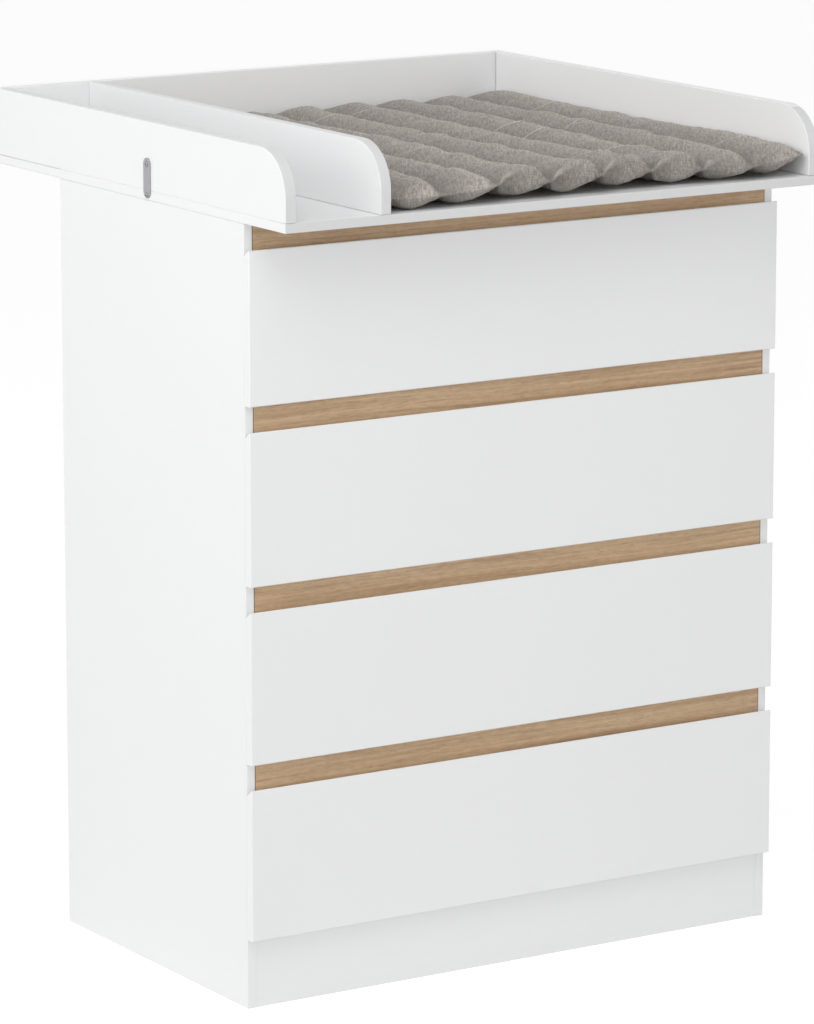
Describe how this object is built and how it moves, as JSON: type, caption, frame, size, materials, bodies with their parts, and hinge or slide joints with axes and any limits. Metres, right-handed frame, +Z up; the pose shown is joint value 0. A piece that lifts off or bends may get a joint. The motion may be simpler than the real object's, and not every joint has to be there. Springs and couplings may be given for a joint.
{
  "type": "changing dresser",
  "caption": "White chest of drawers with oak grip strips and a changing top: walled tray, side storage bay and a quilted channel mat.",
  "frame": {"origin": "on the floor, at the centre of the outline of the changing top seen from above", "axes": "+X to the user's right, +Y to the back, +Z up"},
  "size_m": [0.806, 0.753, 1.1],
  "materials": {
    "white_board": "white melamine coated board, smooth satin",
    "drawer_board": "white foil coated board, matt",
    "back_board": "thin white lacquered fibreboard",
    "oak_strip": "oak decor with long fine grain",
    "runner_steel": "zinc plated rolled steel",
    "plate_steel": "nickel plated, satin",
    "screw_steel": "nickel plated screw",
    "cam_zinc": "zinc die cast",
    "mat_cloth": "taupe crinkle cotton, quilted in channels"
  },
  "bodies": {
    "chest": {"side_panel_left": "white_board", "side_panel_right": "white_board", "top_panel": "white_board", "bottom_panel": "white_board", "plinth_board": "white_board", "rear_rail": "white_board", "back_panel": "back_board", "grip_strip_1": "oak_strip", "grip_strip_2": "oak_strip", "grip_strip_3": "oak_strip", "grip_strip_4": "oak_strip", "cabinet_runners_1": "runner_steel", "cabinet_runners_2": "runner_steel", "cabinet_runners_3": "runner_steel", "cabinet_runners_4": "runner_steel", "changing_board": "white_board", "rear_board": "white_board", "wall_left": "white_board", "wall_right": "white_board", "wall_back": "white_board", "divider": "white_board", "connector_plates": "plate_steel", "plate_screws": "screw_steel"},
    "runner_1": {"middle_runners_1": "runner_steel"},
    "runner_2": {"middle_runners_2": "runner_steel"},
    "runner_3": {"middle_runners_3": "runner_steel"},
    "runner_4": {"middle_runners_4": "runner_steel"},
    "drawer_1": {"drawer_1_front": "white_board", "drawer_1_side_left": "drawer_board", "drawer_1_side_right": "drawer_board", "drawer_1_back": "drawer_board", "drawer_1_bottom": "back_board", "drawer_1_cams": "cam_zinc", "drawer_1_runners": "runner_steel"},
    "drawer_2": {"drawer_2_front": "white_board", "drawer_2_side_left": "drawer_board", "drawer_2_side_right": "drawer_board", "drawer_2_back": "drawer_board", "drawer_2_bottom": "back_board", "drawer_2_cams": "cam_zinc", "drawer_2_runners": "runner_steel"},
    "drawer_3": {"drawer_3_front": "white_board", "drawer_3_side_left": "drawer_board", "drawer_3_side_right": "drawer_board", "drawer_3_back": "drawer_board", "drawer_3_bottom": "back_board", "drawer_3_cams": "cam_zinc", "drawer_3_runners": "runner_steel"},
    "drawer_4": {"drawer_4_front": "white_board", "drawer_4_side_left": "drawer_board", "drawer_4_side_right": "drawer_board", "drawer_4_back": "drawer_board", "drawer_4_bottom": "back_board", "drawer_4_cams": "cam_zinc", "drawer_4_runners": "runner_steel"},
    "mat": {"changing_mat": "mat_cloth"}
  },
  "joints": [
    {"name": "drawer_1_slide", "type": "slide", "parent": "chest", "child": "drawer_1", "axis": [0, -1, 0], "range_m": [0, 0.36]},
    {"name": "runner_1_slide", "type": "slide", "parent": "chest", "child": "runner_1", "axis": [0, -1, 0], "range_m": [0, 0.18]},
    {"name": "drawer_2_slide", "type": "slide", "parent": "chest", "child": "drawer_2", "axis": [0, -1, 0], "range_m": [0, 0.36]},
    {"name": "runner_2_slide", "type": "slide", "parent": "chest", "child": "runner_2", "axis": [0, -1, 0], "range_m": [0, 0.18]},
    {"name": "drawer_3_slide", "type": "slide", "parent": "chest", "child": "drawer_3", "axis": [0, -1, 0], "range_m": [0, 0.36]},
    {"name": "runner_3_slide", "type": "slide", "parent": "chest", "child": "runner_3", "axis": [0, -1, 0], "range_m": [0, 0.18]},
    {"name": "drawer_4_slide", "type": "slide", "parent": "chest", "child": "drawer_4", "axis": [0, -1, 0], "range_m": [0, 0.36]},
    {"name": "runner_4_slide", "type": "slide", "parent": "chest", "child": "runner_4", "axis": [0, -1, 0], "range_m": [0, 0.18]},
    {"name": "mat_lift", "type": "slide", "parent": "chest", "child": "mat", "axis": [0, 0, 1], "range_m": [0, 0.2]}
  ],
  "couplings": [
    {"joint": "runner_1_slide", "follows": "drawer_1_slide", "ratio": 0.5},
    {"joint": "runner_2_slide", "follows": "drawer_2_slide", "ratio": 0.5},
    {"joint": "runner_3_slide", "follows": "drawer_3_slide", "ratio": 0.5},
    {"joint": "runner_4_slide", "follows": "drawer_4_slide", "ratio": 0.5}
  ]
}
